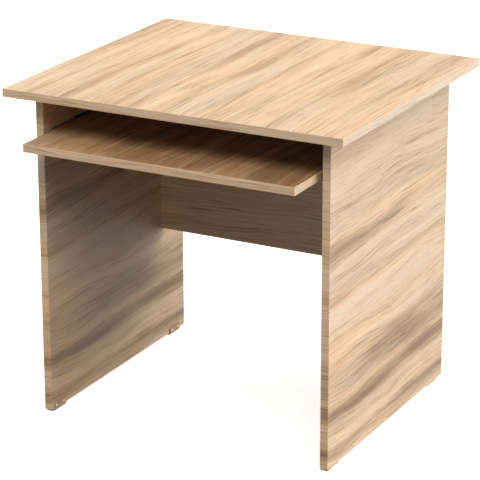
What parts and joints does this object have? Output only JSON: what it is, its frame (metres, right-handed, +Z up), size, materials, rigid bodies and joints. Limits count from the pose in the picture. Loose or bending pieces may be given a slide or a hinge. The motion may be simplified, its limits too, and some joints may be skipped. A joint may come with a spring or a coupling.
{
  "type": "computer desk",
  "caption": "Panel desk in oak-look laminated board, with overhanging top, side panels, a modesty panel and a keyboard tray that pulls out on roller slides.",
  "frame": {"origin": "on the floor, at the centre of the whole footprint with the tray pulled out as it rests", "axes": "+X towards the sitter's right, -Y towards the sitter, +Z up"},
  "size_m": [0.8, 0.75, 0.75],
  "materials": {
    "oak_board": "satin melamine face with a printed oak figure",
    "edge_band": "satin plastic edge band printed to match the board",
    "coated_rail": "brown powder coat on sheet steel",
    "roller_nylon": "moulded natural nylon",
    "zinc_steel": "bright zinc plate",
    "cast_cam": "die-cast zinc alloy, dull",
    "beech_dowel": "plain fluted beech",
    "glide_plastic": "moulded brown plastic"
  },
  "bodies": {
    "desk": {"desktop": "oak_board", "desktop_front_edge_band": "edge_band", "desktop_rear_edge_band": "edge_band", "desktop_left_edge_band": "edge_band", "desktop_right_edge_band": "edge_band", "left_side_panel": "oak_board", "right_side_panel": "oak_board", "left_panel_front_edge_band": "edge_band", "left_panel_rear_edge_band": "edge_band", "right_panel_front_edge_band": "edge_band", "right_panel_rear_edge_band": "edge_band", "modesty_panel": "oak_board", "modesty_bottom_edge_band": "edge_band", "wooden_dowels": "beech_dowel", "cam_housings": "cast_cam", "cam_bolts": "zinc_steel", "left_front_foot": "glide_plastic", "left_rear_foot": "glide_plastic", "right_front_foot": "glide_plastic", "right_rear_foot": "glide_plastic", "foot_screws": "zinc_steel", "left_cabinet_rail": "coated_rail", "right_cabinet_rail": "coated_rail", "cabinet_rail_screws": "zinc_steel", "front_roller_pins": "zinc_steel"},
    "tray": {"keyboard_tray": "oak_board", "tray_front_edge_band": "edge_band", "tray_left_edge_band": "edge_band", "tray_right_edge_band": "edge_band", "left_tray_rail": "coated_rail", "right_tray_rail": "coated_rail", "tray_rail_screws": "zinc_steel", "rear_roller_pins": "zinc_steel"},
    "left_front_roller": {"left_front_roller": "roller_nylon"},
    "right_front_roller": {"right_front_roller": "roller_nylon"},
    "left_rear_roller": {"left_rear_roller": "roller_nylon"},
    "right_rear_roller": {"right_rear_roller": "roller_nylon"}
  },
  "joints": [
    {"name": "tray_slide", "type": "slide", "parent": "desk", "child": "tray", "axis": [0, -1, 0], "range_m": [-0.1, 0.13]},
    {"name": "left_front_roller_spin", "type": "hinge", "parent": "desk", "child": "left_front_roller", "pos_m": [-0.3271, -0.136, 0.6405], "axis": [1, 0, 0], "range_deg": [-640, 830]},
    {"name": "right_front_roller_spin", "type": "hinge", "parent": "desk", "child": "right_front_roller", "pos_m": [0.3271, -0.136, 0.6405], "axis": [1, 0, 0], "range_deg": [-640, 830]},
    {"name": "left_rear_roller_spin", "type": "hinge", "parent": "tray", "child": "left_rear_roller", "pos_m": [-0.3254, 0.038, 0.6402], "axis": [1, 0, 0], "range_deg": [-640, 830]},
    {"name": "right_rear_roller_spin", "type": "hinge", "parent": "tray", "child": "right_rear_roller", "pos_m": [0.3254, 0.038, 0.6402], "axis": [1, 0, 0], "range_deg": [-640, 830]}
  ],
  "couplings": [
    {"joint": "left_front_roller_spin", "follows": "tray_slide", "rad_per_m": 111.11},
    {"joint": "right_front_roller_spin", "follows": "tray_slide", "rad_per_m": 111.11},
    {"joint": "left_rear_roller_spin", "follows": "tray_slide", "rad_per_m": 111.11},
    {"joint": "right_rear_roller_spin", "follows": "tray_slide", "rad_per_m": 111.11}
  ]
}
